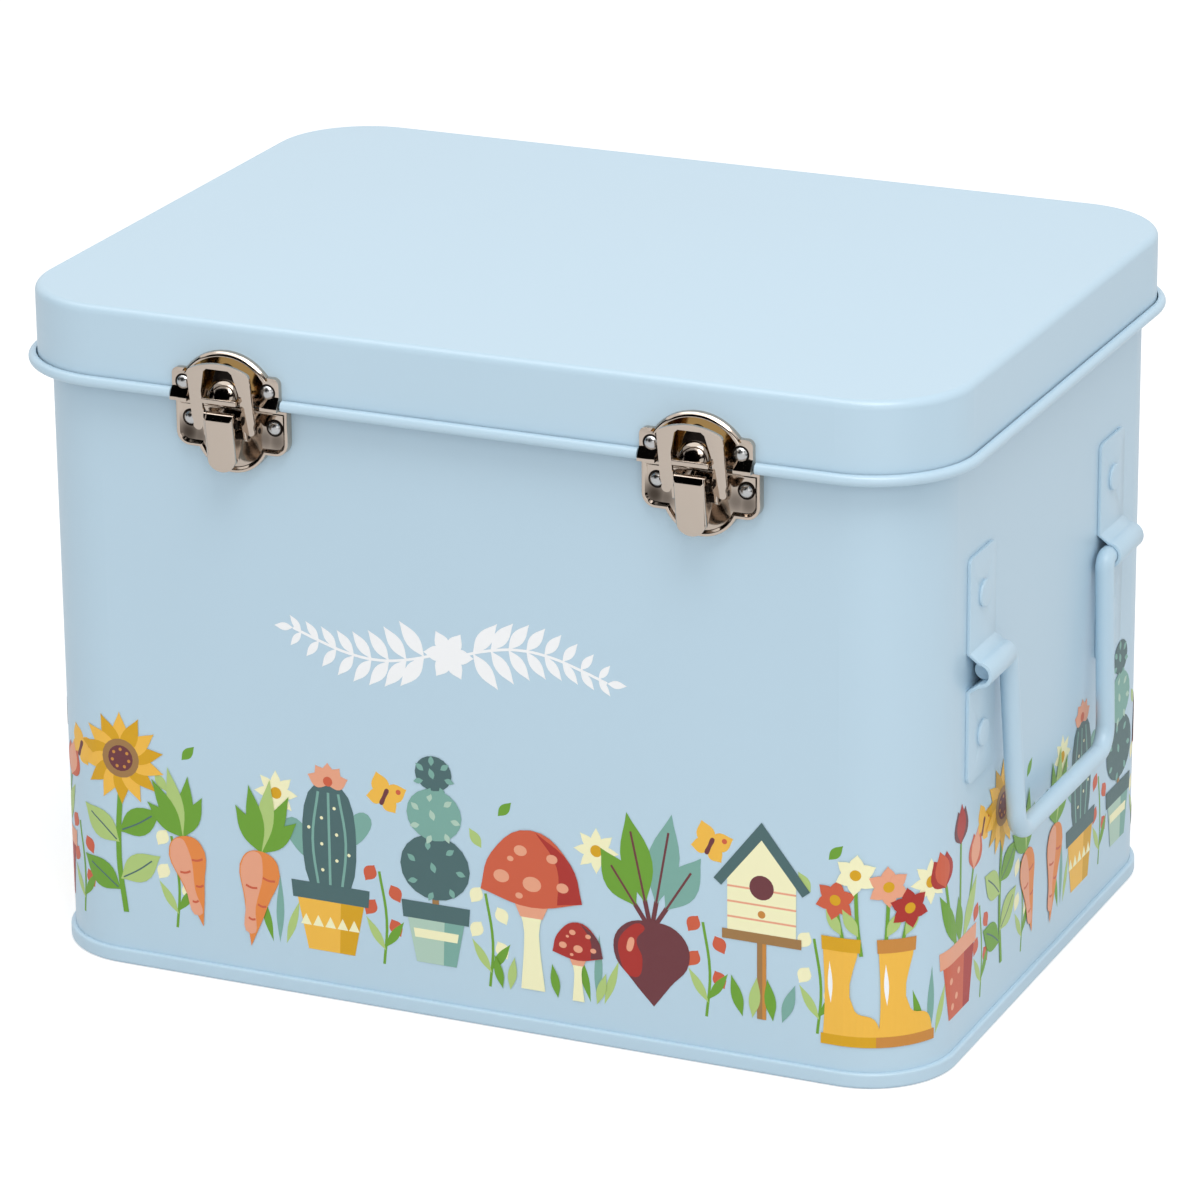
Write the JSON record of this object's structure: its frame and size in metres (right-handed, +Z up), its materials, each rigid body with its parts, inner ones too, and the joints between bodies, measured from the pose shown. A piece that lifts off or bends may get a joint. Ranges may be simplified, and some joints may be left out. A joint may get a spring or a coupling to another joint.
{
  "type": "garden seed organizer box",
  "caption": "Painted sheet-steel storage box for seed packets with rounded corners, a hinged skirted lid, draw latches, swinging bail handles and inner dividers.",
  "frame": {"origin": "on the floor plane under the middle of the body, leaving out latches and hinges", "axes": "+X to the right along the front, +Y from the front to the back, +Z up; the latches are on the -Y side"},
  "size_m": [0.3194, 0.238, 0.22],
  "materials": {
    "painted_steel": "pale blue enamel, satin to semi-gloss, with a printed garden pattern round the lower part of the body",
    "nickel_plate": "polished nickel plate",
    "rivet_steel": "bright zinc-plated steel"
  },
  "bodies": {
    "box": {"body_wall": "painted_steel", "base_pan": "painted_steel", "bracket_right_front": "painted_steel", "bracket_right_rear": "painted_steel", "bracket_left_front": "painted_steel", "bracket_left_rear": "painted_steel", "bracket_rivets_right": "painted_steel", "bracket_rivets_left": "painted_steel", "latch_base_left": "nickel_plate", "latch_base_right": "nickel_plate", "latch_base_rivets": "rivet_steel", "lever_pin_left": "rivet_steel", "lever_pin_right": "rivet_steel", "hinge_leaf_body_left": "nickel_plate", "hinge_leaf_body_right": "nickel_plate", "hinge_body_rivets": "rivet_steel", "hinge_pin_left": "rivet_steel", "hinge_pin_right": "rivet_steel", "divider_long": "painted_steel", "divider_cross_left": "painted_steel", "divider_cross_middle": "painted_steel", "divider_cross_right": "painted_steel"},
    "lid": {"lid_shell": "painted_steel", "keeper_left": "nickel_plate", "keeper_right": "nickel_plate", "keeper_rivets": "rivet_steel", "hinge_leaf_lid_left": "nickel_plate", "hinge_leaf_lid_right": "nickel_plate", "hinge_lid_rivets": "rivet_steel"},
    "lever_left": {"latch_lever_left": "nickel_plate", "loop_pin_left": "rivet_steel"},
    "lever_right": {"latch_lever_right": "nickel_plate", "loop_pin_right": "rivet_steel"},
    "loop_left": {"latch_loop_left": "nickel_plate"},
    "loop_right": {"latch_loop_right": "nickel_plate"},
    "handle_right": {"handle_right": "painted_steel"},
    "handle_left": {"handle_left": "painted_steel"}
  },
  "joints": [
    {"name": "lid_hinge", "type": "hinge", "parent": "box", "child": "lid", "pos_m": [0, 0.1149, 0.19615], "axis": [-1, 0, 0], "range_deg": [0, 105]},
    {"name": "lever_left_swing", "type": "hinge", "parent": "box", "child": "lever_left", "pos_m": [-0.07545, -0.1168, 0.1896], "axis": [-1, 0, 0], "range_deg": [0, 115]},
    {"name": "loop_left_swing", "type": "hinge", "parent": "lever_left", "child": "loop_left", "pos_m": [-0.07545, -0.11326, 0.18525], "axis": [-1, 0, 0], "range_deg": [-130, 0]},
    {"name": "lever_right_swing", "type": "hinge", "parent": "box", "child": "lever_right", "pos_m": [0.08005, -0.1168, 0.1896], "axis": [-1, 0, 0], "range_deg": [0, 115]},
    {"name": "loop_right_swing", "type": "hinge", "parent": "lever_right", "child": "loop_right", "pos_m": [0.08005, -0.11326, 0.18525], "axis": [-1, 0, 0], "range_deg": [-130, 0]},
    {"name": "handle_right_swing", "type": "hinge", "parent": "box", "child": "handle_right", "pos_m": [0.154, -0.0024, 0.125], "axis": [0, -1, 0], "range_deg": [-2, 172]},
    {"name": "handle_left_swing", "type": "hinge", "parent": "box", "child": "handle_left", "pos_m": [-0.154, -0.0024, 0.125], "axis": [0, 1, 0], "range_deg": [-2, 172]}
  ],
  "couplings": [
    {"joint": "loop_left_swing", "follows": "lever_left_swing", "ratio": -1.1},
    {"joint": "loop_right_swing", "follows": "lever_right_swing", "ratio": -1.1}
  ]
}
